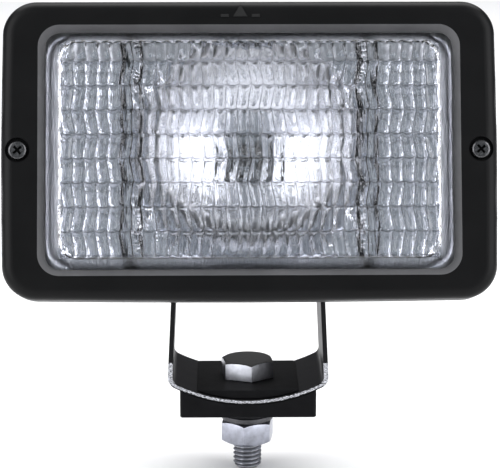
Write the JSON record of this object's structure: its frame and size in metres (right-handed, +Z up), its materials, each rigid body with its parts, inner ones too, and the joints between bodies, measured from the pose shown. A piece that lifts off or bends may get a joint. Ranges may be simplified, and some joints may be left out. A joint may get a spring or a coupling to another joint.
{
  "type": "rectangular fog light",
  "caption": "Rectangular vehicle fog light with fluted glass lens in a black bezel, on a U bracket that tilts, leans and swivels on one threaded mounting bolt.",
  "frame": {"origin": "on the mounting bolt's axis, at the seat face under the lower saddle", "axes": "+Z up the mounting bolt, -Y the way the lamp faces, +X to the right seen from in front"},
  "size_m": [0.16, 0.0848, 0.1687],
  "materials": {
    "bezel_plastic": "satin moulded black polyamide, rounded edges",
    "housing_plastic": "fine-grained moulded black plastic",
    "lens_glass": "clear pressed glass with fluted pillows",
    "seal_rubber": "soft black rubber",
    "reflector_chrome": "vacuum-aluminised, bright",
    "capsule_glass": "clear quartz glass",
    "tungsten": "dark drawn tungsten wire",
    "bulb_metal": "pressed nickel-plated steel",
    "spring_steel": "bright spring steel",
    "brass": "plain machined brass",
    "lead_sheath": "black cable sheath",
    "sleeve_plastic": "natural nylon",
    "zinc_steel": "bright blue-white zinc plating",
    "black_screw": "black-oxide steel",
    "bracket_paint": "satin black paint, bare metal along the cut edge of the base",
    "saddle_plastic": "moulded black polyamide"
  },
  "bodies": {
    "mount": {"mount_bolt": "zinc_steel", "mount_nut": "zinc_steel", "spring_washer": "zinc_steel"},
    "saddles": {"lower_saddle": "saddle_plastic", "upper_saddle": "saddle_plastic"},
    "bracket": {"bracket": "bracket_paint"},
    "lamp": {"housing": "housing_plastic", "front_bezel": "bezel_plastic", "bezel_screws": "black_screw", "lens": "lens_glass", "lens_gasket": "seal_rubber", "reflector": "reflector_chrome", "bulb_capsule": "capsule_glass", "bulb_filament": "tungsten", "bulb_base": "bulb_metal", "bulb_clip": "spring_steel", "clip_plate": "spring_steel", "clip_screw": "zinc_steel", "earth_tab": "brass", "bulb_lead": "lead_sheath", "terminal_sleeve": "sleeve_plastic", "lead_terminal": "brass", "cable_grommet": "seal_rubber", "pivot_screws": "zinc_steel", "pivot_washers": "zinc_steel", "pivot_inserts": "brass"}
  },
  "joints": [
    {"name": "swivel", "type": "hinge", "parent": "mount", "child": "saddles", "pos_m": [0, 0, 0], "axis": [0, 0, 1], "continuous": true},
    {"name": "lean", "type": "hinge", "parent": "saddles", "child": "bracket", "pos_m": [0, 0, 0.0658], "axis": [0, 1, 0], "range_deg": [-6, 6]},
    {"name": "tilt", "type": "hinge", "parent": "bracket", "child": "lamp", "pos_m": [0, 0, 0.088], "axis": [-1, 0, 0], "range_deg": [-27, 43]}
  ]
}
